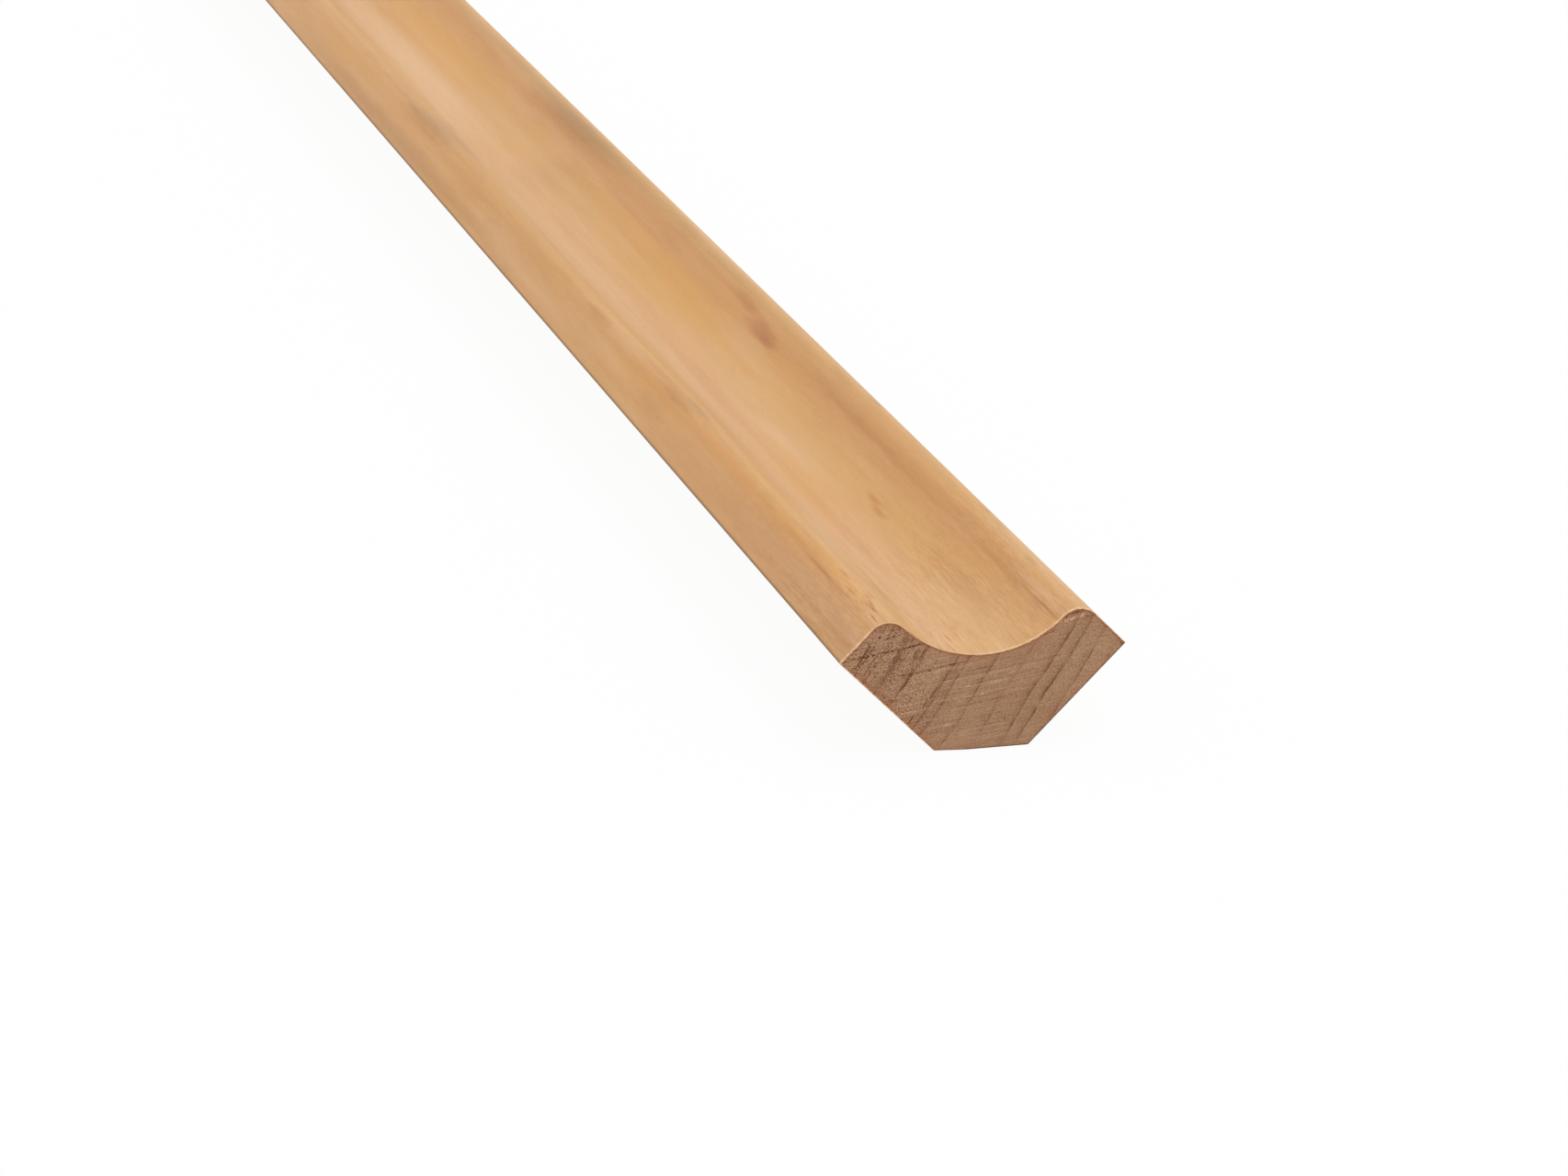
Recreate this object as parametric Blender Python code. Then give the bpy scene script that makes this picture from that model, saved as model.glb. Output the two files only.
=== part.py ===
"""Cove moulding for the inside corners of a sauna: one length of planed alder, sawn square at both ends.

Behind, two wall faces run at right angles, and the corner between them is planed off to a back
flat. In front, a hollow runs between two rounded lips. Each lip ends in a narrow edge land, square
to its wall face, and land and wall face meet in the sharp tip that touches the panelling.
The length stands on its back flat, with the hollow upwards.

Metres: X across the section, Y along the length, Z up. The origin is the middle of the back flat.
"""

import math

import bpy

# Blank
LENGTH = 2.1  # stock length, the height of a sauna room
WALL_FACE = 0.028  # from a tip to the corner where the two wall faces would meet
BACK_FLAT = 0.0129  # width of the flat that takes that corner off

# Moulded front
THROAT = 0.0132  # wood left between the back flat and the bottom of the cove
COVE_RADIUS = 0.016
LIP_RADIUS = 0.0031  # round between the cove and the edge land

# Flats that stand for the rounds, as a planer leaves them too fine to feel
COVE_FLATS = 40
LIP_FLATS = 20

# Alder, planed and left bare
ALDER_COLOUR = (0.665, 0.405, 0.197, 1.0)
ALDER_ROUGHNESS = 0.55

EIGHTH_TURN = math.radians(45)


def tip():
    """The right tip. The wall faces rise at 45 degrees from the ends of the back flat."""
    across = WALL_FACE * math.cos(EIGHTH_TURN)
    return across, across - BACK_FLAT / 2


def cove_centre():
    return 0.0, THROAT + COVE_RADIUS


def lip_centre():
    """Centre of the right lip's round, which touches the edge land and runs smoothly into the cove.

    It lies LIP_RADIUS behind the land's line, x + z = a constant, and both radii from the cove's centre.
    """
    tip_x, tip_z = tip()
    _, cove_z = cove_centre()
    line = tip_x + tip_z - LIP_RADIUS / math.cos(EIGHTH_TURN)
    above_cove = line - cove_z
    reach = COVE_RADIUS + LIP_RADIUS
    x = (above_cove + math.sqrt(2 * reach**2 - above_cove**2)) / 2
    return x, line - x


def arc(centre, radius, start, end, flats):
    """Points of a round, from the start angle to the end angle, both included."""
    angles = [start + (end - start) * i / flats for i in range(flats + 1)]
    return [
        (centre[0] + radius * math.cos(a), centre[1] + radius * math.sin(a))
        for a in angles
    ]


def section():
    """Outline of the cross-section, as (x, z) points, anticlockwise from the left end of the back flat."""
    tip_x, tip_z = tip()
    lip_x, lip_z = lip_centre()
    _, cove_z = cove_centre()
    # The line between the two centres crosses both rounds where the lip runs into the cove.
    meeting = math.atan2(cove_z - lip_z, -lip_x)
    right_lip = arc((lip_x, lip_z), LIP_RADIUS, EIGHTH_TURN, meeting, LIP_FLATS)
    left_lip = [(-x, z) for x, z in reversed(right_lip)]
    cove = arc(
        cove_centre(), COVE_RADIUS, meeting - math.pi, -meeting, COVE_FLATS
    )
    back = [(-BACK_FLAT / 2, 0.0), (BACK_FLAT / 2, 0.0)]
    return (
        back
        + [(tip_x, tip_z)]
        + right_lip
        + cove[1:-1]
        + left_lip
        + [(-tip_x, tip_z)]
    )


def alder():
    material = bpy.data.materials.new("alder_planed")
    material.use_nodes = True
    shader = material.node_tree.nodes["Principled BSDF"]
    shader.inputs["Base Color"].default_value = ALDER_COLOUR
    shader.inputs["Roughness"].default_value = ALDER_ROUGHNESS
    shader.inputs["Metallic"].default_value = 0.0
    material.diffuse_color = ALDER_COLOUR
    return material


def moulding(collection):
    """The length itself: the section, filled and drawn out along Y to both sides of the origin."""
    outline = bpy.data.curves.new("cove_moulding", "CURVE")
    outline.dimensions = "2D"
    outline.fill_mode = "BOTH"
    outline.extrude = LENGTH / 2
    points = section()
    spline = outline.splines.new("POLY")
    spline.points.add(len(points) - 1)
    for point, (x, z) in zip(spline.points, points):
        point.co = (x, z, 0.0, 1.0)
    spline.use_cyclic_u = True
    outline.materials.append(alder())
    length = bpy.data.objects.new("cove_moulding", outline)
    length.rotation_euler = (math.radians(90), 0.0, 0.0)
    collection.objects.link(length)


for old in list(bpy.data.objects):
    bpy.data.objects.remove(old)

sauna_moulding = bpy.data.collections.new("sauna_moulding")
bpy.context.scene.collection.children.link(sauna_moulding)
moulding(sauna_moulding)
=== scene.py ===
import math

import bmesh
import bpy
from mathutils import Matrix, Vector, noise


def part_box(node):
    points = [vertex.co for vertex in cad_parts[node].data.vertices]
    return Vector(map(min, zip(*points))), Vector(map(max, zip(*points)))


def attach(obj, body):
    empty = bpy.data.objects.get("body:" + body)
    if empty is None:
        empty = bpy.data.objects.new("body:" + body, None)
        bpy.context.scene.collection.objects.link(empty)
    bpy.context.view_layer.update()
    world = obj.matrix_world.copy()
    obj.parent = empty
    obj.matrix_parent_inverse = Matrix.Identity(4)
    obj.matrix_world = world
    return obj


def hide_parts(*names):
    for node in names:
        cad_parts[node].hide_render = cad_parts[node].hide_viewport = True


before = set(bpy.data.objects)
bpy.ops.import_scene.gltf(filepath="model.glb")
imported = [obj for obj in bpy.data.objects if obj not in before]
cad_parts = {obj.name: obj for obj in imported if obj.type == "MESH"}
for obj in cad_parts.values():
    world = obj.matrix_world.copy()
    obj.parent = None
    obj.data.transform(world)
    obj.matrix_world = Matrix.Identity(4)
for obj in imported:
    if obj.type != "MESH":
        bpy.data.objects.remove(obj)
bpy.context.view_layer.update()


# The moulding: one stick of alder, sawn from a 20 x 40 mm batten and milled in one pass. A round
# cutter hollows the front, two small ones round the lips, and plain cutters plane the edge lands,
# the wall faces and the back flat. It is the only piece, with no fixing and no finish on it.
BACK_FLAT = 0.0129
THROAT = 0.0132
COVE_RADIUS = 0.016
LIP_RADIUS = 0.0031
COVE_STEPS = 44
LIP_STEPS = 22
BACK_STEP = 0.00022  # the back cutter left the left end of the back flat this much higher
STEP_END = -BACK_FLAT / 6  # the x at which the flat has come down to its level
LONG_ARRIS = 0.00015  # the sharp corners, as handling leaves them
ARRIS_ANGLE = math.radians(30)  # a corner that turns by more than this is sharp
SAME_PLACE = 1e-6  # points nearer to each other than this are one

low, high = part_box("cove_moulding")
near, far = low.y, high.y
tip_x = high.x
tip_z = tip_x - BACK_FLAT / 2
cove_z = THROAT + COVE_RADIUS

# The lip's round touches the edge land, on which x + z is constant, and runs on into the cove.
above_cove = tip_x + tip_z - LIP_RADIUS * math.sqrt(2) - cove_z
lip_x = (above_cove + math.sqrt(2 * (COVE_RADIUS + LIP_RADIUS) ** 2 - above_cove**2)) / 2
lip_z = cove_z + above_cove - lip_x
lean = math.atan2(lip_x, cove_z - lip_z)


def of_kind(parts, kind):
    return [part for part in parts if isinstance(part, kind)]


stick = bmesh.new()
bottom = stick.verts.new((0.0, near, THROAT))
cove = bmesh.ops.spin(
    stick, geom=[bottom], cent=(0.0, near, cove_z), axis=(0, 1, 0), angle=-lean, steps=COVE_STEPS
)
lip = bmesh.ops.spin(
    stick, geom=of_kind(cove["geom_last"], bmesh.types.BMVert), cent=(lip_x, near, lip_z),
    axis=(0, 1, 0), angle=lean + math.radians(45), steps=LIP_STEPS,
)
corner = of_kind(lip["geom_last"], bmesh.types.BMVert)[0]
for x, z in ((tip_x, tip_z), (BACK_FLAT / 2, 0.0), (0.0, 0.0)):
    corner = bmesh.ops.extrude_vert_indiv(stick, verts=[corner])["verts"][0]
    corner.co = (x, near, z)
bmesh.ops.mirror(
    stick, geom=stick.verts[:] + stick.edges[:], axis="X", merge_dist=SAME_PLACE
)
for vertex in stick.verts:
    if vertex.co.z < SAME_PLACE and vertex.co.x < SAME_PLACE:
        at_corner = vertex.co.x < STEP_END
        vertex.co.x = -BACK_FLAT / 2 - BACK_STEP if at_corner else STEP_END
        vertex.co.z = BACK_STEP if at_corner else 0.0
section = bmesh.ops.contextual_create(stick, geom=stick.edges[:])["faces"]
drawn = bmesh.ops.extrude_face_region(stick, geom=section)["geom"]
bmesh.ops.translate(
    stick, verts=of_kind(drawn, bmesh.types.BMVert), vec=(0.0, far - near, 0.0)
)
bmesh.ops.recalc_face_normals(stick, faces=stick.faces[:])
arrises = [
    edge for edge in stick.edges
    if edge.calc_length() > (far - near) / 2 and edge.calc_face_angle() > ARRIS_ANGLE
]
bmesh.ops.bevel(
    stick, geom=arrises, offset=LONG_ARRIS, segments=3, profile=0.5, affect="EDGES", material=-1
)


# Its ends: cut square by a coarse saw and left as sawn. The teeth leave grooves that rise a little
# to the right, a few of them deep, and lift or tear the fibres along the rim of the front.
RIM = 0.00007  # the broken edge round each end
SAW_SLOPE = math.radians(7.5)
GROOVE_DEPTH = 0.00011  # of a groove whose depth is 1 in the rows below
SAWN = 1  # the sawn material's place on the stick, after the planed one
EDGE_BAND = 3.0  # mm from the outline in which the distance to it is kept
MM = 1000.0  # millimetres in a metre

# Rows of grooves: mm from one to the next, half the width of one in mm, how deep they are on
# average, and how much that varies. Those above the surface are lifted fibres. The first row is
# the far end's only, because the near end's deep grooves are the single marks below.
GROOVE_ROWS = ((2.60, 0.08, 0.15, 1.2), (0.47, 0.08, 0.06, 0.65), (0.28, 0.06, 0.04, 0.50))
GROOVE_WAVER = 0.12  # mm that a groove wavers up and down
CALM_FROM = 2.0  # from this x in mm to the right the saw ran more calmly,
CALM_OVER = 8.0  # by this many mm further as calmly as it goes
CALMED = 0.7  # the share of the depth that is then gone
NEAR_SEED = 0.0
FAR_SEED = 11.0

# Single marks of the near end, in mm from the middle of its back flat: x and z of both ends, half
# the width, and how deep. A depth below 0 is a streak of lifted, pale fibres.
SCRATCHES = (
    (-18.5, 13.85, -11.5, 14.80, 0.11, 1.5),
    (-11.5, 14.80, -7.9, 15.45, 0.14, 1.4),
    (-15.0, 10.50, -9.0, 11.20, 0.06, 0.5),
    (-12.9, 10.95, -7.0, 11.60, 0.08, 0.9),
    (-7.0, 11.75, -2.4, 12.45, 0.08, 0.9),
    (-2.4, 12.45, 0.2, 12.75, 0.06, 0.5),
    (-16.7, 16.00, -15.4, 16.40, 0.08, 0.8),
    (-14.3, 16.20, -10.1, 17.20, 0.09, 0.9),
    (-17.9, 15.10, -16.2, 15.50, 0.07, 0.5),
    (-13.0, 7.60, -9.0, 8.00, 0.06, 0.6),
    (-9.0, 8.15, -2.0, 8.75, 0.06, 0.5),
    (-9.5, 6.25, -4.0, 6.95, 0.06, 0.5),
    (-8.9, 2.85, -2.7, 3.55, 0.07, 0.5),
    (-4.0, 6.10, 2.6, 6.95, 0.06, 0.5),
    (-2.6, 11.10, 1.2, 11.60, 0.06, 0.6),
    (-1.2, 9.55, 4.0, 10.60, 0.06, 0.4),
    (-0.6, 7.30, 3.4, 8.10, 0.06, 0.5),
    (2.0, 9.60, 9.5, 11.00, 0.05, 0.4),
    (3.0, 6.60, 6.2, 7.25, 0.05, 0.4),
    (7.8, 5.55, 10.6, 6.20, 0.07, 0.4),
    (-12.0, 5.65, -6.0, 6.55, 0.09, -0.8),
    (-12.4, 6.75, -7.0, 7.40, 0.08, -0.7),
    (-13.2, 7.95, -7.2, 8.25, 0.07, -0.5),
    (-8.2, 3.20, -3.0, 3.85, 0.07, -0.5),
    (-6.5, 7.15, 0.5, 7.75, 0.08, -0.7),
    (-3.5, 8.75, 3.4, 9.55, 0.08, -0.6),
    (-9.3, 9.30, -4.5, 9.90, 0.07, -0.4),
    (-1.5, 5.30, 3.0, 5.85, 0.07, -0.5),
    (-1.0, 10.15, 4.5, 11.10, 0.08, -0.5),
    (7.4, 5.35, 10.2, 5.95, 0.08, -0.4),
    (7.6, 15.10, 10.1, 15.80, 0.08, 0.6),
    (10.0, 16.80, 11.6, 17.20, 0.25, -0.8),
    (11.5, 17.10, 14.0, 17.75, 0.28, -0.8),
    (12.4, 17.45, 13.9, 17.70, 0.12, -0.6),
    (10.2, 17.20, 11.0, 17.60, 0.20, 1.0),
    (11.4, 17.80, 13.3, 18.20, 0.14, 1.1),
    (14.0, 17.55, 14.7, 17.45, 0.16, 0.9),
    (-15.6, 17.80, -15.4, 18.00, 0.14, 1.2),
    (-14.5, 16.55, -14.1, 16.70, 0.12, 0.7),
    (-15.0, 16.75, -14.2, 17.05, 0.10, -0.7),
    (-10.9, 16.50, -9.9, 15.70, 0.34, 0.5),
)
RUN_OUT = 0.1  # the share of its length by which a mark runs on past each end while it fades
edge_layer = stick.verts.layers.float.new("edge_mm")
side_layer = stick.verts.layers.float.new("side")
groove_layer = stick.verts.layers.float.new("groove")


def edge_distance(x, z):
    """Millimetres from a point of the section to its outline, and the side that is nearest."""
    right = abs(x)
    front = LIP_RADIUS - math.hypot(right - lip_x, z - lip_z)
    if math.atan2(right, cove_z - z) < lean:
        front = math.hypot(right, z - cove_z) - COVE_RADIUS
    elif right - z > lip_x - lip_z:
        front = (tip_x + tip_z - right - z) / math.sqrt(2)
    wall = (z - right + BACK_FLAT / 2) / math.sqrt(2)
    nearest = min(front, wall, z)
    side = 1.0 if nearest == front else 0.5 if nearest == wall and x < 0 else 0.0
    return MM * max(0.0, nearest), side


def saw_marks(x, z, seed):
    """How deep the saw went at a point of the end: up to about 1, and below 0 on lifted fibres."""
    x, z = MM * x, MM * z
    along = x * math.cos(SAW_SLOPE) + z * math.sin(SAW_SLOPE)
    across = z * math.cos(SAW_SLOPE) - x * math.sin(SAW_SLOPE)
    across += GROOVE_WAVER * noise.noise(Vector((along / 6, across / 9, seed)))
    busy = 0.75 + 0.9 * noise.noise(Vector((x / 7, z / 4, seed + 3)))
    depth = 0.0
    for pitch, half_width, usual, varying in GROOVE_ROWS[1 if seed == NEAR_SEED else 0:]:
        row = round(across / pitch)
        line = row * pitch + 0.25 * pitch * noise.noise(Vector((row * 7.3, seed, 0.5)))
        broken = noise.noise(Vector((along / 6, row * 3.7, seed + pitch)))
        profile = max(0.0, 1.0 - ((across - line) / half_width) ** 2)
        depth += (usual + varying * broken) * profile * busy
    depth *= 1.0 - CALMED * min(1.0, max(0.0, (x - CALM_FROM) / CALM_OVER))
    if seed == NEAR_SEED:
        for x0, z0, x1, z1, half_width, deep in SCRATCHES:
            start, run = Vector((x0, z0)), Vector((x1 - x0, z1 - z0))
            part = (Vector((x, z)) - start).dot(run) / run.length_squared
            if -RUN_OUT < part < 1 + RUN_OUT:
                off = (Vector((x, z)) - start - part * run).length
                off += 0.6 * half_width * noise.noise(Vector((along / 0.7, z0, 1.0)))
                if abs(off) < half_width:
                    fade = min(1.0, 4 * (part + RUN_OUT), 4 * (1 + RUN_OUT - part))
                    ragged = 0.8 + 1.1 * noise.noise(Vector((along / 0.3, z0 + across, 5.0)))
                    mark = deep * fade * ragged * (1 - (off / half_width) ** 2)
                    depth = mark if abs(mark) > abs(depth) else depth
    return depth


COLLAR = 0.004  # a loop round the stick behind each end, so that its fine mesh stays there
NEAR_ZONE = 0.06  # further loops round it, where the parts of its flat layout meet
NEAR_PART = 0.5
FAR_ZONE = 0.03
for cut_at in (near + COLLAR, near + NEAR_ZONE, near + NEAR_PART, far - FAR_ZONE, far - COLLAR):
    whole = stick.verts[:] + stick.edges[:] + stick.faces[:]
    bmesh.ops.bisect_plane(stick, geom=whole, plane_co=(0, cut_at, 0), plane_no=(0, 1, 0))

# For each end: where it is, which way is into the stick, the seed of its marks, and how far apart
# the cuts of its fine mesh lie, across the grooves and along them.
FINE_ENDS = (
    (near, 1.0, NEAR_SEED, 0.00006, 0.00022),
    (far, -1.0, FAR_SEED, 0.00013, 0.0005),
)
FIRST_CUT = 0.7  # pitches from the lowest corner to the first cut, which so misses the corners
ON_CUT = 1e-7  # a point nearer to a cut than this lies on it
END_REACH = 1.5 * RIM  # a face that lies this near to an end belongs to it
FIBRE_BUNDLE = 2500  # bundles of fibres in a metre of the end, 0.4 mm each


def each_once(parts):
    return list(dict.fromkeys(parts))


for end, inward, seed, across_pitch, along_pitch in FINE_ENDS:
    cap = [face for face in stick.faces if face.normal.y * inward < -0.9]
    rim = each_once(edge for face in cap for edge in face.edges)
    bmesh.ops.bevel(
        stick, geom=rim, offset=RIM, segments=2, profile=0.5, affect="EDGES", material=-1
    )
    cap = [
        face for face in stick.faces
        if all(abs(vertex.co.y - end) < END_REACH for vertex in face.verts)
    ]
    for face in cap:
        face.material_index = SAWN
    geometry = cap + each_once(edge for face in cap for edge in face.edges)
    geometry += each_once(vertex for face in cap for vertex in face.verts)
    ups = Vector((-math.sin(SAW_SLOPE), 0.0, math.cos(SAW_SLOPE)))
    sideways = Vector((math.cos(SAW_SLOPE), 0.0, math.sin(SAW_SLOPE)))
    for normal, pitch in ((ups, across_pitch), (sideways, along_pitch)):
        reach = [vertex.co.dot(normal) for vertex in of_kind(geometry, bmesh.types.BMVert)]
        place = min(reach) + FIRST_CUT * pitch
        while place < max(reach):
            geometry = bmesh.ops.bisect_plane(
                stick, geom=geometry, plane_co=normal * place, plane_no=normal, dist=ON_CUT
            )["geom"]
            place += pitch
    for vertex in of_kind(geometry, bmesh.types.BMVert):
        x, y, z = vertex.co
        flatness = max(0.0, 1.0 - abs(y - end) / RIM)
        depth = saw_marks(x, z, seed)
        inside, side = edge_distance(x, z)
        vertex[groove_layer] = depth * flatness
        vertex[edge_layer] = min(EDGE_BAND, inside) * flatness
        vertex[side_layer] = side
        bundle = Vector((x * FIBRE_BUNDLE, z * FIBRE_BUNDLE, seed))
        fibres = 0.25 * (1 + noise.noise(bundle))
        # The sawn surface lies a little inside the end, so that lifted fibres don't pass it.
        vertex.co.y += inward * flatness * GROOVE_DEPTH * max(0.0, 0.35 + 0.65 * depth + fibres)

# A flat layout of the stick, with more room for the near half metre and for the two ends, so that
# the wood can be baked to one square picture. Each strip has its marks along the stick, as y and
# the u that it lies at, then the v of its middle, its scale across, and its shear, which spreads
# the steep faces.
NEAR_STRIP = (((near, 0.003), (near + NEAR_ZONE, 0.24), (near + NEAR_PART, 0.997)), 0.40, 8.0, -0.3)
FAR_STRIP = (((near + NEAR_PART, 0.003), (far - FAR_ZONE, 0.90), (far, 0.997)), 0.675, 5.2, -0.3)
BACK_STRIP = (((near, 0.003), (far, 0.997)), 0.893, 4.2, 0.3)
END_SCALE = 12.1
NEAR_END_U = 0.25
FAR_END_U = 0.75
ENDS_V = 0.005
layout = stick.loops.layers.uv.new("OFBake")
for face in stick.faces:
    middle = face.calc_center_median()
    strip = NEAR_STRIP
    if face.normal.z <= 0:
        strip = BACK_STRIP
    elif middle.y > near + NEAR_PART:
        strip = FAR_STRIP
    row, at_v, scale, shear = strip
    for loop in face.loops:
        x, y, z = loop.vert.co
        if face.material_index == SAWN:
            at_u = NEAR_END_U if y < 0 else FAR_END_U
            loop[layout].uv = (at_u + END_SCALE * x, ENDS_V + END_SCALE * z)
            continue
        for (y0, u0), (y1, u1) in zip(row, row[1:]):
            if y0 <= middle.y <= y1:
                along = u0 + (u1 - u0) * (y - y0) / (y1 - y0)
        lean_by = shear * math.copysign(z - (THROAT if face.normal.z > 0 else 0.0), x)
        loop[layout].uv = (along, at_v + scale * (x + lean_by))

length_mesh = bpy.data.meshes.new("moulding_length")
stick.to_mesh(length_mesh)
stick.free()
SMOOTH_UP_TO = math.radians(40)
length_mesh.shade_smooth()
length_mesh.set_sharp_from_angle(angle=SMOOTH_UP_TO)
moulding_length = bpy.data.objects.new("moulding_length", length_mesh)
bpy.context.scene.collection.objects.link(moulding_length)


# The wood of the stick is common alder, planed and left bare. Its yearly rings run along the
# stick, about 125 mm out from the pith, and show as faint bands of rosy and golden wood.
PITH_X = -110.0  # mm from the middle of the section's back flat
PITH_Z = 76.0
FIRST_RING = 106.95  # mm from the pith to where the first year of the list starts
WIDEST_YEAR = 4.0

# How the rings wander: mm from one bend to the next, across and along the stick, and how many mm
# they wander there.
WANDER = ((40.0, 170.0, 3.6), (6.0, 60.0, 0.8), (0.8, 40.0, 0.2))

# One row for each year, outwards: its width in mm, how dark its last wood is on the sawn end and
# on the planed faces, and its tone.
YEARS = (
    (2.65, 0.30, 0.3, "plain"),
    (2.65, 1.00, 0.4, "rosy"),
    (1.65, 0.75, 0.2, "golden"),
    (2.80, 0.65, 0.1, "golden"),
    (2.26, 0.85, 0.1, "plain"),
    (1.87, 0.25, 0.0, "pale"),
    (2.63, 1.00, 0.0, "pale"),
    (1.40, 0.90, 0.1, "plain"),
    (3.51, 1.00, 0.1, "plain"),
    (3.74, 0.45, 0.1, "golden"),
    (3.57, 1.10, 0.20, "rosy"),
    (1.86, 1.10, 0.1, "golden"),
    (2.66, 0.75, 0.3, "plain"),
    (2.60, 0.40, 0.3, "pale"),
    (2.60, 0.40, 0.3, "plain"),
)
PLANED_TONES = {"plain": "#d8a770", "rosy": "#d49d61", "golden": "#d6a362", "pale": "#dbaa76"}
SAWN_TONES = {"plain": "#b18867", "rosy": "#ae8463", "golden": "#af8664", "pale": "#b48b6a"}


def hex_colour(code):
    """An sRGB hex value as the linear colour that a shader takes."""
    parts = [int(code[i:i + 2], 16) / 255 for i in (1, 3, 5)]
    return [c / 12.92 if c <= 0.04045 else ((c + 0.055) / 1.055) ** 2.4 for c in parts] + [1.0]


def add_node(material, kind, inputs={}, stops=(), **settings):
    """Adds a node, sets its options, and fills each input with a value or a link.

    A ramp also gets its stops, each a place and either a colour or a level of grey.
    """
    added = material.node_tree.nodes.new("ShaderNode" + kind)
    for option, value in settings.items():
        setattr(added, option, value)
    for index, (place, value) in enumerate(stops):
        elements = added.color_ramp.elements
        stop = elements[index] if index < 2 else elements.new(place)
        stop.position = place
        stop.color = value if isinstance(value, list) else [value] * 3 + [1.0]
    for socket, value in inputs.items():
        if isinstance(value, bpy.types.Node):
            value = [output for output in value.outputs if output.enabled][0]
        if isinstance(value, bpy.types.NodeSocket):
            material.node_tree.links.new(value, added.inputs[socket])
        else:
            added.inputs[socket].default_value = value
    return added


def grain(material, width, length, detail=1.0, where=None):
    """Noise whose blots are so many mm wide, and so many long along the stick."""
    where = where or add_node(material, "TexCoord").outputs["Object"]
    drawn = add_node(
        material, "Mapping",
        {"Vector": where, "Scale": (MM / width, MM / length, MM / width),
         "Location": (width, length, detail)},
    )
    return add_node(material, "TexNoise", {"Vector": drawn, "Scale": 1.0, "Detail": detail})


def rings(material, tones, face):
    """The tone of each year's wood, how dark its last wood is, and the mm left of the year.

    The face is 0 for the sawn end and 1 for the planed faces, as in a year's row.
    """
    where = add_node(material, "TexCoord").outputs["Object"]
    from_pith = add_node(
        material, "Mapping",
        {"Vector": where, "Location": (-PITH_X, 0.0, -PITH_Z), "Scale": (MM, 0.0, MM)},
    )
    out = add_node(material, "VectorMath", {0: from_pith}, operation="LENGTH").outputs["Value"]
    first = FIRST_RING
    for width, length, sway in WANDER:
        bends = grain(material, width, length)
        out = add_node(material, "Math", {0: bends, 1: sway, 2: out}, operation="MULTIPLY_ADD")
        first += sway / 2
    span = sum(year[0] for year in YEARS)
    out = add_node(
        material, "MapRange", {"Value": out, "From Min": first, "From Max": first + span}
    )
    count = add_node(material, "FloatCurve", {"Value": out})
    curve = count.mapping.curves[0]
    reached = 0.0
    for index, year in enumerate(YEARS[:-1]):
        reached += year[0]
        curve.points.new(reached / span, (index + 1) / len(YEARS))
    for point in curve.points:
        point.handle_type = "VECTOR"
    count.mapping.update()
    tone = add_node(
        material, "ValToRGB", {"Fac": count},
        stops=[((i + 0.5) / len(YEARS), hex_colour(tones[y[3]])) for i, y in enumerate(YEARS)],
    )
    dark = add_node(
        material, "ValToRGB", {"Fac": count},
        stops=[(i / len(YEARS), year[1 + face]) for i, year in enumerate(YEARS)],
    )
    width = add_node(
        material, "ValToRGB", {"Fac": count},
        stops=[(i / len(YEARS), year[0] / WIDEST_YEAR) for i, year in enumerate(YEARS)],
    )
    dark.color_ramp.interpolation = "CONSTANT"
    width.color_ramp.interpolation = "CONSTANT"
    years = add_node(material, "Math", {0: count, 1: float(len(YEARS))}, operation="MULTIPLY")
    part = add_node(material, "Math", {0: years}, operation="FRACT")
    left = add_node(material, "Math", {0: 1.0, 1: part}, operation="SUBTRACT")
    left = add_node(material, "Math", {0: left, 1: width}, operation="MULTIPLY")
    left = add_node(material, "Math", {0: left, 1: WIDEST_YEAR}, operation="MULTIPLY")
    return tone.outputs["Color"], dark.outputs["Color"], left


def paint(material, colour, coats, fall="SMOOTHSTEP"):
    """Lays coats over a colour.

    Each coat has a field, where on it the coat starts and is full, how strong it is there, a mask
    and a colour.
    """
    for field, start, full, most, mask, coat in coats:
        amount = add_node(
            material, "MapRange",
            {"Value": field, "From Min": start, "From Max": full, "To Max": most},
            interpolation_type=fall,
        )
        amount = add_node(
            material, "Math", {0: amount, 1: mask}, operation="MULTIPLY", use_clamp=True
        )
        colour = add_node(
            material, "Mix", {0: amount, 6: colour, 7: hex_colour(coat)}, data_type="RGBA"
        ).outputs[2]
    return colour


def torn(material):
    """How far the saw tore the front's last fibres, from the left tip to the right one."""
    where = add_node(material, "TexCoord").outputs["Object"]
    across = add_node(material, "SeparateXYZ", {0: where}).outputs["X"]
    place = add_node(
        material, "MapRange", {"Value": across, "From Min": -tip_x, "From Max": tip_x}
    )
    return add_node(
        material, "ValToRGB", {"Fac": place},
        stops=((0.0, 1.0), (0.10, 1.0), (0.125, 0.25), (0.40, 0.15), (0.50, 0.6), (0.60, 0.9),
               (0.86, 1.0), (0.93, 0.8)),
    )


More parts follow.
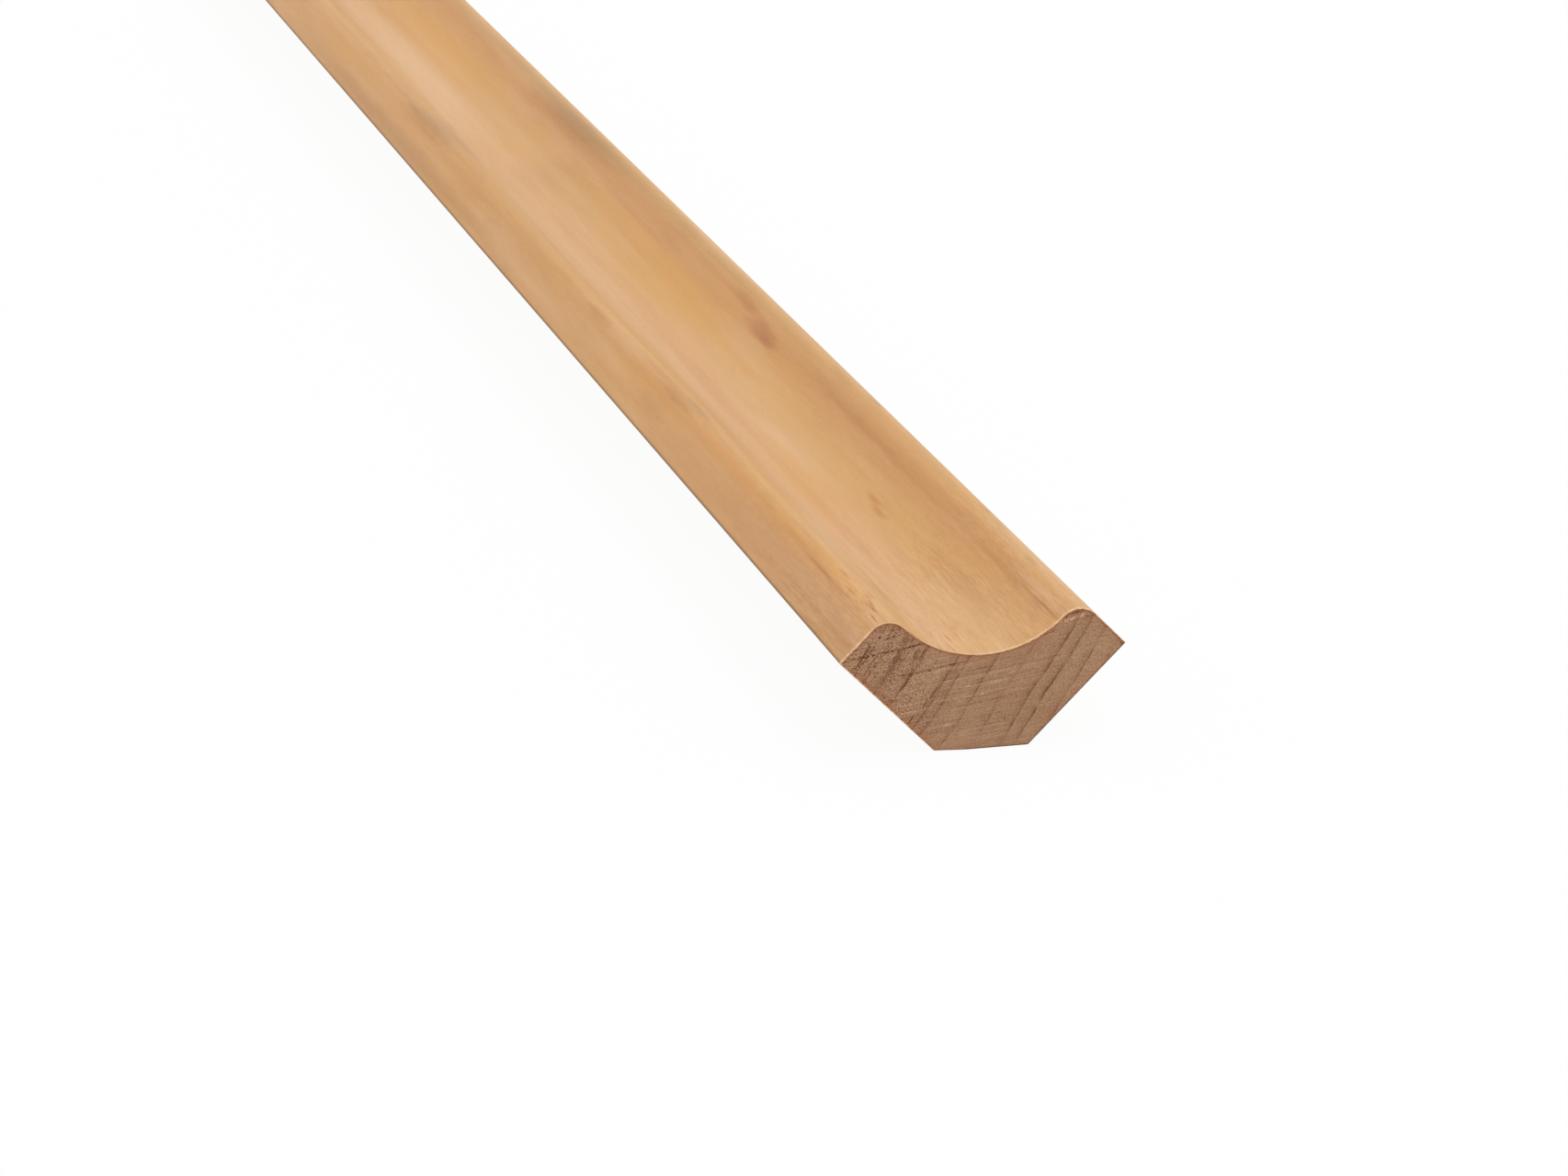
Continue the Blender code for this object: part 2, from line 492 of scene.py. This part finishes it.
# Planing leaves a smooth satin face: fine short fibre lines along the grain, and soft clouds of
# golden, pale and rosy wood. At the ends it has dried more, and its fibres and pores show more.
# One fibre is too fine to show, so the lines are drawn as bundles, 0.25 mm wide.
DRY_LENGTH = 0.065
DRY_USUAL = 0.62  # how much the fibres show along the stick,
DRY_END = 3.6  # and right at its ends
FIBRE_WAVER = 0.0012  # how far the fibre lines waver across the grain
planed = bpy.data.materials.new("alder_planed")
planed.use_nodes = True
tone, dark_end, left = rings(planed, PLANED_TONES, 1)
sides = add_node(planed, "SeparateXYZ", {0: add_node(planed, "TexCoord").outputs["Object"]})
from_middle = add_node(planed, "Math", {0: sides.outputs["X"]}, operation="ABSOLUTE")
from_half = add_node(planed, "Math", {0: sides.outputs["Y"]}, operation="ABSOLUTE")
dry = add_node(
    planed, "MapRange",
    {"Value": from_half, "From Min": far - DRY_LENGTH, "From Max": far, "To Min": DRY_USUAL,
     "To Max": DRY_END},
)
waver = add_node(
    planed, "VectorMath",
    {0: grain(planed, 3.0, 16.0).outputs["Color"], 1: (FIBRE_WAVER, 0.0, FIBRE_WAVER),
     2: add_node(planed, "TexCoord").outputs["Object"]}, operation="MULTIPLY_ADD",
)
clouds = grain(planed, 14.0, 150.0, 2.0)
flames = grain(planed, 1.6, 26.0, 3.0, waver)
streaks = grain(planed, 0.7, 14.0, 3.0, waver)
fibres = grain(planed, 0.25, 5.0, 2.0, waver)
pores = add_node(
    planed, "MapRange",
    {"Value": grain(planed, 0.19, 1.6, 0.0, waver), "From Min": 0.58, "From Max": 0.75},
)
worn = add_node(
    planed, "MapRange", {"Value": grain(planed, 4.0, 16.0, 1.0), "From Min": 0.35, "From Max": 0.6,
                         "To Min": 0.5}
)
breaks = grain(planed, 2.5, 40.0)
LATE_WOOD = 1.6  # mm of each year in which its wood gets darker
late = add_node(planed, "Math", {0: left, 1: LATE_WOOD}, operation="DIVIDE")
late = add_node(
    planed, "ValToRGB", {"Fac": late}, stops=((0.0, 0.7), (0.12, 1.0), (0.35, 0.45), (1.0, 0.0))
)
for part in (dark_end, breaks):
    late = add_node(planed, "Math", {0: late, 1: part}, operation="MULTIPLY")
nap = 0.0
for field, amount in ((streaks, 0.25), (fibres, 0.30)):
    field = add_node(planed, "Math", {0: field, 1: 0.5}, operation="SUBTRACT")
    nap = add_node(planed, "Math", {0: field, 1: amount, 2: nap}, operation="MULTIPLY_ADD")
nap = add_node(planed, "Math", {0: pores, 1: -0.03, 2: nap}, operation="MULTIPLY_ADD")
nap = add_node(planed, "Math", {0: nap, 1: worn}, operation="MULTIPLY")
shade = 0.0
for field, amount in ((clouds, 0.26), (flames, 0.20), (nap, dry), (late, -0.25)):
    shade = add_node(planed, "Math", {0: field, 1: amount, 2: shade}, operation="MULTIPLY_ADD")
colour = paint(
    planed, tone,
    ((shade, 0.22, -0.78, 1.0, 1.0, "#7a3c10"), (shade, 0.22, 1.22, 1.0, 1.0, "#fbdcb0")),
    "LINEAR",
)
golden = grain(planed, 6.5, 90.0, 2.0)
pale = grain(planed, 5.5, 80.0, 2.0)
rosy = grain(planed, 5.0, 110.0, 2.0)
smoky = grain(planed, 4.0, 26.0, 3.0)
colour = paint(
    planed, colour,
    (
        (golden, 0.50, 0.72, 0.32, 1.0, "#d69a44"),
        (pale, 0.50, 0.72, 0.26, 1.0, "#e6c096"),
        (rosy, 0.54, 0.75, 0.28, 1.0, "#c5844a"),
        (smoky, 0.60, 0.80, 0.18, 1.0, "#8e6a40"),
    ),
)

# Marks of this stick, and one row of painted shade on the right lip's outer side, in mm from the
# middle of the near end's back flat: x, y and z of the middle, half the width, half the length, how
# strong, and the colour. Narrow ones have fine, crisp edges, and wide ones soft, wavy edges.
WIDE_FLECK = 0.6  # mm of half width past which a mark is wide
FLECK_START = 1.2  # where a mark starts, as a share of its half width,
FLECK_FULL = 0.15  # and where it is full
FLECKS = (
    (-2.7, 82.0, 13.4, 5.0, 28.0, 0.30, "#d99c44"),  # golden, pale and rosy clouds
    (2.8, 192.0, 13.5, 6.5, 38.0, 0.18, "#dba24c"),
    (-8.5, 110.0, 15.6, 3.5, 52.0, 0.18, "#c48c48"),
    (-15.6, 18.0, 17.7, 0.7, 10.0, 0.20, "#a46a3c"),
    (5.6, 380.0, 14.2, 5.0, 60.0, 0.45, "#dca04a"),
    (2.8, 297.0, 13.5, 4.0, 14.0, 0.22, "#dba24c"),
    (-9.1, 48.0, 16.0, 3.0, 20.0, 0.30, "#e2c09a"),
    (-3.7, 360.0, 13.6, 5.5, 65.0, 0.36, "#e6c4a0"),
    (-8.7, 225.0, 15.8, 5.0, 44.0, 0.20, "#dfc097"),
    (10.0, 304.0, 16.7, 3.2, 34.0, 0.32, "#c07c3e"),
    (9.6, 90.0, 16.4, 3.0, 120.0, 0.12, "#bd7840"),
    (-8.0, 240.0, 15.4, 6.5, 500.0, 0.12, "#a87c4c"),
    (-11.0, 16.0, 17.7, 2.8, 44.0, 0.26, "#e0bc9c"),
    (-14.5, 2.0, 18.3, 1.0, 10.0, 0.40, "#e6c4a2"),
    (11.2, 10.0, 17.8, 0.8, 18.0, 0.34, "#ecc69a"),
    (-18.6, 310.0, 14.5, 2.2, 110.0, 0.34, "#a06c40"),
    (-12.9, 300.0, 18.5, 1.8, 130.0, 0.20, "#a06c38"),
    (-13.0, 115.0, 18.6, 0.9, 40.0, 0.32, "#a8743e"),
    (12.8, 290.0, 18.5, 1.8, 220.0, 0.33, "#9c7444"),
    (4.2, 300.0, 13.8, 1.6, 120.0, 0.15, "#dfc09c"),
    (-14.9, 100.0, 18.2, 1.7, 200.0, 0.25, "#cc883c"),
    (-17.8, 30.0, 15.3, 3.4, 100.0, 0.24, "#b8744a"),
    (3.9, 8.0, 13.7, 6.0, 30.0, 0.27, "#e5bd8f"),
    (9.3, 8.0, 16.2, 3.0, 26.0, 0.22, "#dcae84"),
    (-11.0, 170.0, 17.7, 2.4, 120.0, 0.16, "#d2964a"),
    (-18.0, 5.0, 15.1, 4.0, 42.0, 0.12, "#a0704a"),  # dull and smoky ones
    (12.0, 288.0, 18.2, 3.0, 36.0, 0.36, "#8a6840"),
    (3.0, 272.0, 13.6, 8.0, 15.0, 0.13, "#a07848"),
    (-14.0, 298.0, 18.4, 2.4, 26.0, 0.30, "#8c6236"),
    (-10.4, 292.0, 17.0, 4.0, 24.0, 0.28, "#8c6438"),
    (-16.8, 252.0, 16.4, 3.0, 14.0, 0.25, "#c98a40"),
    (-17.0, 116.0, 16.2, 2.2, 9.0, 0.16, "#aa6e44"),
    (-13.0, 22.0, 18.5, 1.8, 20.0, 0.34, "#dc9a42"),  # the golden left lip
    (-15.0, 28.0, 18.1, 0.7, 20.0, 0.30, "#b06c2c"),  # streaks along the left lip and the land
    (-15.1, 26.0, 18.0, 0.22, 8.0, 0.40, "#a05c20"),
    (-14.2, 112.0, 18.4, 1.1, 12.0, 0.40, "#a86e34"),
    (-14.4, 161.0, 18.4, 1.0, 10.0, 0.32, "#aa6e34"),
    (-12.2, 105.0, 18.4, 0.9, 9.0, 0.32, "#8a643a"),
    (3.8, 63.5, 13.7, 0.80, 5.0, 0.36, "#b05c14"),  # the brown fleck
    (4.6, 69.0, 13.9, 0.60, 4.4, 0.36, "#b05c14"),
    (9.7, 151.0, 16.5, 1.70, 11.0, 0.42, "#a86030"),  # the rosy fleck and its tail
    (9.2, 148.0, 16.1, 0.80, 5.0, 0.26, "#96502a"),
    (11.1, 166.0, 17.7, 1.20, 10.0, 0.34, "#b06e36"),
    (10.4, 8.0, 17.1, 0.26, 10.0, 0.46, "#98581e"),  # the red line from the end
    (10.3, 28.0, 17.0, 0.60, 14.0, 0.24, "#a86428"),
    (10.3, 85.0, 17.0, 0.90, 55.0, 0.20, "#b06c30"),
    (13.4, 22.0, 18.6, 0.60, 3.0, 0.30, "#94744a"),  # spots on the right lip
    (14.5, 47.0, 18.3, 0.80, 3.5, 0.32, "#8e7048"),
    (14.6, 102.0, 18.3, 0.90, 4.0, 0.32, "#8e7046"),
    (-13.5, 6.5, 18.55, 0.22, 1.8, 0.66, "#9c4e0c"),  # open fibres near the end
    (-13.1, 8.8, 18.6, 0.20, 2.0, 0.66, "#9c4e0c"),
    (-12.8, 11.6, 18.6, 0.26, 1.8, 0.50, "#a0580f"),
    (-14.4, 3.0, 18.4, 0.18, 2.4, 0.60, "#9c4e0c"),
    (-14.1, 15.0, 18.4, 0.24, 3.0, 0.42, "#a0580f"),
    (-13.1, 22.0, 18.6, 0.45, 3.2, 0.36, "#a0601c"),
    (-11.9, 13.0, 18.3, 0.40, 2.0, 0.40, "#945e28"),
    (-10.2, 6.0, 16.9, 0.20, 3.5, 0.40, "#9a6430"),
    (-7.4, 24.0, 15.0, 0.26, 9.0, 0.35, "#9a6430"),
    (-2.9, 7.0, 13.5, 0.24, 2.4, 0.50, "#9c5614"),
    (-0.6, 12.0, 13.3, 0.26, 3.0, 0.30, "#a0641c"),
    # painted shade: the right lip's outer side, seen edge-on, greyer and darker
    (15.8, 250.0, 17.50, 1.0, 600.0, 0.42, "#927048"),  # the right lip's outer side, a little grey
    (-10.5, 0.2, 17.1, 0.55, 1.5, 0.95, "#96643e"),  # chips at the end, where the saw came out
    (-9.7, 0.3, 16.5, 0.60, 2.4, 0.95, "#96643e"),
    (-8.9, 0.2, 15.9, 0.50, 1.3, 0.90, "#96643e"),
    (10.8, 0.1, 17.3, 0.30, 0.6, 0.90, "#84502c"),
)
where = add_node(planed, "TexCoord").outputs["Object"]
edges = []
for width, length, off_across, off_along in ((0.3, 2.0, 0.0003, 0.002), (1.5, 8.0, 0.0012, 0.007)):
    uneven = add_node(
        planed, "VectorMath",
        {0: grain(planed, width, length, 2.0).outputs["Color"], 1: (0.5, 0.5, 0.5)},
        operation="SUBTRACT",
    )
    edges.append(
        add_node(
            planed, "VectorMath", {0: uneven, 1: (off_across, off_along, off_across), 2: where},
            operation="MULTIPLY_ADD",
        )
    )
coats = []
for x, y, z, half_width, half_length, strength, fleck in FLECKS:
    scale = Vector((1 / half_width, 1 / half_length, 1 / half_width))
    middle = Vector((x, MM * near + y, z)) * scale
    place = add_node(
        planed, "Mapping",
        {"Vector": edges[half_width > WIDE_FLECK], "Location": -middle, "Scale": MM * scale},
    )
    off = add_node(planed, "VectorMath", {0: place}, operation="LENGTH").outputs["Value"]
    coats.append((off, FLECK_START, FLECK_FULL, strength, 1.0, fleck))
colour = paint(planed, colour, coats)

# The two tips are painted a little darker, as shade on their rounded undersides that face the
# floor, and behind the saw's rim the front's last fibres stand up pale.
TIP_BAND = 0.0004
RIM_BAND = 0.0009
upwards = add_node(planed, "SeparateXYZ", {0: add_node(planed, "NewGeometry").outputs["Normal"]})
front = add_node(
    planed, "MapRange", {"Value": upwards.outputs["Z"], "From Min": 0.0, "From Max": 0.3}
)
patchy = add_node(
    planed, "MapRange", {"Value": grain(planed, 0.8, 0.8, 2.0), "From Min": 0.38, "From Max": 0.55,
                         "To Min": 0.3}
)
lifted = add_node(planed, "Math", {0: torn(planed), 1: patchy}, operation="MULTIPLY")
lifted = add_node(planed, "Math", {0: lifted, 1: front}, operation="MULTIPLY")
colour = paint(
    planed, colour,
    (
        # painted shade on the rounded undersides of both tips
        (from_middle, tip_x - TIP_BAND, tip_x, 0.85, 1.0, "#6e4a28"),
        (from_half, far - RIM_BAND, far - 0.6 * RIM_BAND, 0.62, lifted, "#fbd3a8"),
    ),
)

gloss = planed.node_tree.nodes["Principled BSDF"]
gloss.inputs["IOR"].default_value = 1.33  # below solid wood's 1.5, because half of it is air
planed.node_tree.links.new(colour, gloss.inputs["Base Color"])
roughness = add_node(planed, "Math", {0: fibres, 1: 0.16, 2: 0.42}, operation="MULTIPLY_ADD")
roughness = add_node(planed, "Math", {0: pores, 1: 0.1, 2: roughness}, operation="MULTIPLY_ADD")
planed.node_tree.links.new(roughness.outputs[0], gloss.inputs["Roughness"])
relief = 0.0
for field, amount in ((fibres, 0.6), (streaks, 0.5), (pores, -0.5)):
    relief = add_node(planed, "Math", {0: field, 1: amount, 2: relief}, operation="MULTIPLY_ADD")
relief = add_node(planed, "Bump", {"Height": relief, "Strength": 0.5, "Distance": 0.00003})
planed.node_tree.links.new(relief.outputs[0], gloss.inputs["Normal"])

# Sawing across the grain opens the pores, so the end drinks the light: a deeper, duller brown with
# the year lines clear on it, fine speckle from the cut fibres, and lines from the teeth. One pore
# is too fine to show, so the speckle is drawn 0.17 to 0.2 mm wide, two or three pores.
TEETH_PITCH = 0.28  # mm from one tooth line to the next
TEETH_LENGTH = 10.0  # mm that such a line lasts
sawn = bpy.data.materials.new("alder_end_grain_sawn")
sawn.use_nodes = True
tone, dark_end, left = rings(sawn, SAWN_TONES, 0)
mottle = grain(sawn, 6.0, 6.0, 2.0)
cloudy = grain(sawn, 1.1, 1.1, 2.0)
blots = grain(sawn, 0.45, 0.45, 1.0)
speckle = grain(sawn, 0.17, 0.17, 1.0)
pits = grain(sawn, 0.19, 0.19, 1.0)
place = add_node(sawn, "TexCoord").outputs["Object"]
across, _, height = add_node(sawn, "SeparateXYZ", {0: place}).outputs
rough = add_node(
    sawn, "MapRange", {"Value": across, "From Min": -tip_x, "From Max": tip_x}
)
rough = add_node(
    sawn, "ValToRGB", {"Fac": rough},
    stops=((0.0, 1.0), (0.18, 1.0), (0.38, 0.35), (0.7, 0.30), (0.85, 0.45)),
)
teeth = add_node(sawn, "Mapping", {"Vector": place, "Rotation": (0.0, SAW_SLOPE, 0.0)})
teeth = add_node(
    sawn, "Mapping", {"Vector": teeth, "Scale": (MM / TEETH_LENGTH, 1.0, MM / TEETH_PITCH)}
)
teeth = add_node(sawn, "TexNoise", {"Vector": teeth, "Scale": 1.0, "Detail": 2.0})
teeth = add_node(sawn, "Math", {0: teeth, 1: 0.5}, operation="SUBTRACT")
fainter = add_node(
    sawn, "MapRange", {"Value": across, "From Min": 0.003, "From Max": 0.012, "To Min": 1.0,
                       "To Max": 0.4}
)
regions = add_node(
    sawn, "MapRange", {"Value": mottle, "From Min": 0.4, "From Max": 0.6, "To Min": 0.5}
)
for part in (fainter, regions):
    teeth = add_node(sawn, "Math", {0: teeth, 1: part}, operation="MULTIPLY")
line = add_node(sawn, "Math", {0: left, 1: LATE_WOOD}, operation="DIVIDE")
line = add_node(
    sawn, "ValToRGB", {"Fac": line},
    stops=((0.0, 0.45), (0.06, 0.95), (0.12, 1.0), (0.24, 0.38), (0.6, 0.12), (1.0, 0.0)),
)
breaks = add_node(
    sawn, "MapRange", {"Value": grain(sawn, 2.2, 2.2, 2.0), "From Min": 0.35, "From Max": 0.65,
                       "To Min": 0.35, "To Max": 1.25}
)
for part in (dark_end, breaks):
    line = add_node(sawn, "Math", {0: line, 1: part}, operation="MULTIPLY")
dotted = add_node(
    sawn, "MapRange", {"Value": grain(sawn, 0.2, 0.2, 0.0), "From Min": 0.35, "From Max": 0.65,
                       "To Min": 0.4, "To Max": 1.3}
)
groove = add_node(sawn, "Attribute", attribute_name="groove").outputs["Fac"]
groove = add_node(sawn, "Math", {0: groove, 1: dotted}, operation="MULTIPLY")
shade = 0.0
for field, amount in (
    (mottle, 0.14), (cloudy, 0.18), (blots, 0.28), (speckle, 1.05), (teeth, 0.75), (line, -0.56),
    (groove, -1.05), (rough, 0.08),
):
    shade = add_node(sawn, "Math", {0: field, 1: amount, 2: shade}, operation="MULTIPLY_ADD")
colour = paint(
    sawn, tone,
    ((shade, 0.86, -0.14, 1.0, 1.0, "#642a0a"), (shade, 0.86, 1.86, 1.0, 1.0, "#f0c8a0")),
    "LINEAR",
)
colour = paint(
    sawn, colour,
    (
        (pits, 0.53, 0.68, 0.78, rough, "#522a14"),
        (pits, 0.45, 0.30, 0.62, rough, "#dcb290"),
        (height, 0.005, 0.0, 0.18, 1.0, "#e4c0a0"),
    ),
)

# Dark stains of this end, where a year line crosses torn wood: x and z of the middle in mm, half
# the length along the year lines, half the width, and how strong. Thin ones are dark lines with
# crisp edges, and the others fade out softly.
WIDE_STAIN = 0.15  # mm of half width past which a stain is no line
STAIN_START = 1.3  # where a stain starts, as a share of its half width,
SOFT_FULL = 0.2  # and where it is full
CRISP_FULL = 0.8
STAIN_DEPTH = 10.0  # mm into the wood, so that no stain shows at the far end
LINES_AT_X = -8.0  # mm: the stains lie along the year lines as they run here
LINES_AT_Z = 12.0
STAINS = (
    (-12.1, 13.4, 2.4, 0.60, 0.62),
    (-13.2, 11.4, 1.4, 0.50, 0.40),
    (-14.4, 10.2, 1.6, 0.50, 0.28),
    (-10.9, 16.0, 1.1, 0.45, 0.50),
    (-9.8, 16.5, 0.7, 0.30, 0.40),
    (-9.4, 13.6, 1.3, 0.30, 0.50),
    (-9.5, 14.0, 0.6, 0.12, 0.70),
    (-8.5, 13.9, 1.2, 0.26, 0.45),
    (-8.3, 14.2, 0.5, 0.14, 0.75),
    (-8.9, 14.5, 0.2, 0.36, 0.60),
    (-10.3, 11.1, 1.2, 0.22, 0.60),
    (-11.4, 9.4, 0.9, 0.22, 0.45),
    (-13.5, 10.0, 6.0, 5.00, 0.12),
    (-7.5, 5.5, 5.0, 3.50, 0.10),
    (-16.7, 14.1, 1.9, 0.13, 0.90),
    (-15.6, 13.0, 2.2, 0.10, 0.50),
    (-12.9, 17.3, 1.2, 0.10, 0.50),
    (-4.9, 10.9, 1.7, 0.35, 0.35),
    (-6.8, 8.4, 1.0, 0.13, 0.70),
    (-8.0, 6.9, 0.7, 0.12, 0.65),
    (-9.9, 4.9, 0.6, 0.12, 0.90),
    (-10.8, 9.9, 0.9, 0.12, 0.85),
    (-3.9, 11.4, 1.6, 0.30, 0.35),
    (3.1, 3.9, 0.35, 0.16, 0.70),
    (19.3, 13.3, 0.5, 0.40, 0.55),
    (10.95, 17.05, 0.25, 0.16, 0.75),
    (11.45, 17.50, 0.30, 0.18, 0.80),
    (12.90, 18.10, 0.25, 0.16, 0.65),
)
around = -math.atan2(PITH_Z - LINES_AT_Z, LINES_AT_X - PITH_X)
uneven = add_node(
    sawn, "VectorMath",
    {0: grain(sawn, 0.7, 0.7, 3.0).outputs["Color"], 1: (0.5, 0.5, 0.5)}, operation="SUBTRACT",
)
edges = []
for off in (0.0001, 0.0007):
    ragged = add_node(
        sawn, "VectorMath", {0: uneven, 1: (off, 0.0, off), 2: place}, operation="MULTIPLY_ADD"
    )
    edges.append(add_node(sawn, "Mapping", {"Vector": ragged, "Rotation": (0.0, around, 0.0)}))
coats = []
for x, z, half_length, half_width, strength in STAINS:
    scale = Vector((1 / half_width, 1 / STAIN_DEPTH, 1 / half_length))
    middle = Matrix.Rotation(around, 3, "Y") @ Vector((x, MM * near, z)) * scale
    wide = half_width > WIDE_STAIN
    spot = add_node(
        sawn, "Mapping",
        {"Vector": edges[wide], "Location": -middle, "Scale": MM * scale},
    )
    off = add_node(sawn, "VectorMath", {0: spot}, operation="LENGTH").outputs["Value"]
    coats.append((off, STAIN_START, SOFT_FULL if wide else CRISP_FULL, strength, 1.0, "#6a3e20"))
colour = paint(sawn, colour, coats)

# Along its rim the wood is redder and rust-flecked where the saw broke it, and a thin pale line of
# lifted fibres shows in front, with a darker band of painted shade just inside it. On the left wall
# a pale line is partly lifted fibres and partly a painted highlight on the rounded rim, and along
# the right wall and the back a dark line is partly torn wood and partly painted shade on the
# rounded rim.
inside = add_node(sawn, "Attribute", attribute_name="edge_mm").outputs["Fac"]
inside = add_node(sawn, "Math", {0: blots, 1: 0.35, 2: inside}, operation="MULTIPLY_ADD")
side = add_node(sawn, "Attribute", attribute_name="side").outputs["Fac"]
front = add_node(sawn, "MapRange", {"Value": side, "From Min": 0.7, "From Max": 0.95})
torn_and_shaded_rim = add_node(sawn, "MapRange", {"Value": side, "From Min": 0.3, "From Max": 0.05})
wall = add_node(sawn, "Math", {0: 1.0, 1: front}, operation="SUBTRACT")
wall = add_node(sawn, "Math", {0: wall, 1: torn_and_shaded_rim}, operation="SUBTRACT")
raised = add_node(sawn, "Math", {0: front, 1: torn(sawn)}, operation="MULTIPLY")
frayed_and_lit_rim = add_node(
    sawn, "MapRange", {"Value": height, "From Min": 0.003, "From Max": 0.006, "To Min": 0.2}
)
frayed_and_lit_rim = add_node(sawn, "Math", {0: wall, 1: frayed_and_lit_rim}, operation="MULTIPLY")
rusty = add_node(sawn, "MapRange", {"Value": blots, "From Min": 0.46, "From Max": 0.66})
colour = paint(
    sawn, colour,
    (
        (inside, 2.8, 0.6, 0.28, rusty, "#a65632"),
        (inside, 0.9, 0.3, 0.14, 1.0, "#96592f"),
        (inside, 2.1, 0.3, 0.17, wall, "#a8623a"),
        # painted shade: a darker band just inside the front rim, under the lifted fibres
        (inside, 0.65, 0.3, 0.38, front, "#8a4a20"),
        (inside, 0.26, 0.19, 0.80, raised, "#f0bd88"),
        # partly lifted fibres, partly a painted highlight: the pale line along the left wall's rim
        (inside, 0.34, 0.24, 0.75, frayed_and_lit_rim, "#eecdae"),
        # partly torn wood, partly painted shade: the dark line along the rim of the right wall and
        # the back
        (inside, 0.40, 0.24, 0.65, torn_and_shaded_rim, "#4e3c30"),
    ),
)
matt = sawn.node_tree.nodes["Principled BSDF"]
matt.inputs["Roughness"].default_value = 0.85
matt.inputs["IOR"].default_value = 1.4  # open fibres, so below solid wood's 1.5 too
sawn.node_tree.links.new(colour, matt.inputs["Base Color"])
relief = 0.0
for field, amount in ((speckle, 1.0), (pits, -0.8), (teeth, 1.5), (line, -0.2)):
    relief = add_node(sawn, "Math", {0: field, 1: amount, 2: relief}, operation="MULTIPLY_ADD")
relief = add_node(sawn, "Bump", {"Height": relief, "Strength": 0.6, "Distance": 0.00008})
sawn.node_tree.links.new(relief.outputs[0], matt.inputs["Normal"])

length_mesh.materials.append(planed)
length_mesh.materials.append(sawn)
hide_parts("cove_moulding")
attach(moulding_length, "root")


# The floor: a sheet of matt white board under the stick, wide enough to fill the picture. Seen
# directly it is almost plain white, and keeps a trace of the stick's shadow.
FLOOR_SPAN = 12.0
CLEAN_SHARE = 0.95


def seen_directly(material):
    """1 where the camera looks, also by gloss or through glass, and 0 for light on other things."""
    path = add_node(material, "LightPath").outputs
    seen = path["Is Camera Ray"]
    for ray in ("Is Glossy Ray", "Is Transmission Ray"):
        seen = add_node(material, "Math", {0: seen, 1: path[ray]}, operation="MAXIMUM")
    return seen


board = bmesh.new()
bmesh.ops.create_grid(board, x_segments=1, y_segments=1, size=FLOOR_SPAN / 2)
floor_mesh = bpy.data.meshes.new("floor")
board.to_mesh(floor_mesh)
board.free()
floor = bpy.data.objects.new("floor", floor_mesh)
bpy.context.scene.collection.objects.link(floor)
white_board = bpy.data.materials.new("white_board")
white_board.use_nodes = True
tree = white_board.node_tree
tree.nodes.remove(tree.nodes["Principled BSDF"])
matt = add_node(white_board, "BsdfDiffuse", {"Color": hex_colour("#f7f7f7")})
clean = add_node(white_board, "Emission", {"Color": (1, 1, 1, 1), "Strength": 1.0})
share = add_node(
    white_board, "Math", {0: seen_directly(white_board), 1: CLEAN_SHARE}, operation="MULTIPLY"
)
mixed = add_node(white_board, "MixShader", {0: share, 1: matt, 2: clean})
tree.links.new(mixed.outputs[0], tree.nodes["Material Output"].inputs["Surface"])
floor_mesh.materials.append(white_board)


# The light: an even white sky, and a soft lamp high on the right that shades the left faces a
# little. Looked at, the sky is as white as the floor.
SKY_LEVEL = 0.78
LAMP_LEVEL = 0.80
LAMP_SPREAD = math.radians(40)
LAMP_FORWARD = math.radians(-12)
LAMP_TO_RIGHT = math.radians(20)
world = bpy.data.worlds.new("studio")
bpy.context.scene.world = world
world.use_nodes = True
sky = world.node_tree.nodes["Background"]
sky.inputs["Color"].default_value = (1, 1, 1, 1)
level = add_node(world, "MapRange", {"Value": seen_directly(world), "To Min": SKY_LEVEL})
world.node_tree.links.new(level.outputs[0], sky.inputs["Strength"])
lamp_light = bpy.data.lights.new("softbox", "SUN")
lamp_light.energy = LAMP_LEVEL
lamp_light.angle = LAMP_SPREAD
lamp = bpy.data.objects.new("softbox", lamp_light)
lamp.rotation_euler = (LAMP_FORWARD, LAMP_TO_RIGHT, 0.0)
bpy.context.scene.collection.objects.link(lamp)


# The camera: low in front of the near end and to its left, as in the photograph.
LENS = 127.7
SENSOR_WIDTH = 36.0
CAMERA_PLACE = Vector((-0.20997, -0.66780, 0.24856))  # from the middle of the near back flat
CAMERA_TURN = math.radians(15.276)
CAMERA_DIP = math.radians(17.929)
CAMERA_ROLL = math.radians(0.547)
camera_data = bpy.data.cameras.new("camera")
camera_data.lens = LENS
camera_data.sensor_width = SENSOR_WIDTH
camera_data.clip_start = 0.01
camera = bpy.data.objects.new("camera", camera_data)
turn = (
    Matrix.Rotation(-CAMERA_TURN, 4, "Z")
    @ Matrix.Rotation(math.radians(90) - CAMERA_DIP, 4, "X")
    @ Matrix.Rotation(CAMERA_ROLL, 4, "Z")
)
camera.matrix_world = Matrix.Translation(Vector((0, near, 0)) + CAMERA_PLACE) @ turn
bpy.context.scene.collection.objects.link(camera)
bpy.context.scene.camera = camera
bpy.context.scene.view_settings.view_transform = "Standard"
